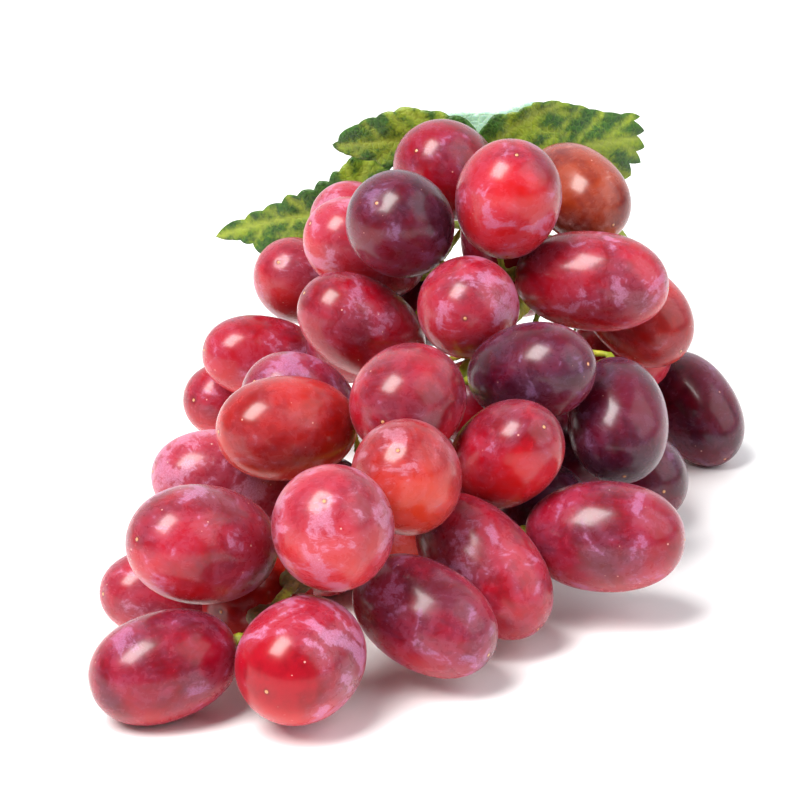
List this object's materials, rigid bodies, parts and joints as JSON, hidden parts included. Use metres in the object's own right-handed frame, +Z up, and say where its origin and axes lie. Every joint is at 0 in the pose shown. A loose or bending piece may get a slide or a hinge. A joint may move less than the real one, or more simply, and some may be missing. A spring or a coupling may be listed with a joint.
{
  "type": "bunch of grapes",
  "caption": "Bunch of oblong red table grapes lying on its side, on a branched stem with a cut end, with toothed vine leaves behind its top.",
  "frame": {"origin": "middle of the bunch's footprint, on the surface that it lies on", "axes": "+Y from the bunch's narrow tip towards its cut stem end, +Z up, +X to the right seen from the tip"},
  "size_m": [0.1364, 0.1926, 0.0839],
  "materials": {
    "berry_red": "satin skin with a pale bloom, rubbed in places",
    "berry_purple": "satin skin with a pale bloom, rubbed in places",
    "stem_bark": "matt, green with brown nodes",
    "leaf_blade": "satin, veined, paler underneath"
  },
  "bodies": {
    "root": {"berry_behind_centre": "berry_red", "berry_behind_crown": "berry_red", "berry_behind_middle": "berry_purple", "berry_behind_shoulder": "berry_purple", "berry_centre": "berry_red", "berry_centre_right": "berry_red", "berry_crown": "berry_red", "berry_crown_left": "berry_purple", "berry_crown_right": "berry_red", "berry_dark_middle": "berry_purple", "berry_dark_right": "berry_purple", "berry_far_right": "berry_purple", "berry_front": "berry_red", "berry_front_high": "berry_red", "berry_front_right": "berry_red", "berry_inner_01": "berry_red", "berry_inner_02": "berry_red", "berry_inner_03": "berry_red", "berry_inner_04": "berry_purple", "berry_inner_05": "berry_red", "berry_inner_06": "berry_red", "berry_inner_07": "berry_red", "berry_inner_08": "berry_purple", "berry_inner_09": "berry_red", "berry_left_back": "berry_red", "berry_left_bright": "berry_red", "berry_left_floor": "berry_red", "berry_left_front": "berry_red", "berry_left_high": "berry_red", "berry_left_low": "berry_red", "berry_left_pink": "berry_red", "berry_left_purple": "berry_purple", "berry_middle": "berry_red", "berry_middle_left": "berry_red", "berry_right_low": "berry_red", "berry_right_shade": "berry_purple", "berry_right_under": "berry_purple", "berry_shoulder_back": "berry_red", "berry_shoulder_right": "berry_red", "berry_sliver_right": "berry_red", "berry_tip_front": "berry_red", "berry_tip_left": "berry_red", "berry_tip_right": "berry_red", "berry_tip_under": "berry_red", "berry_top": "berry_red", "berry_under_centre": "berry_purple", "berry_under_crown": "berry_red", "leaf_back": "leaf_blade", "leaf_left": "leaf_blade", "leaf_top": "leaf_blade", "stem": "stem_bark"}
  },
  "joints": []
}
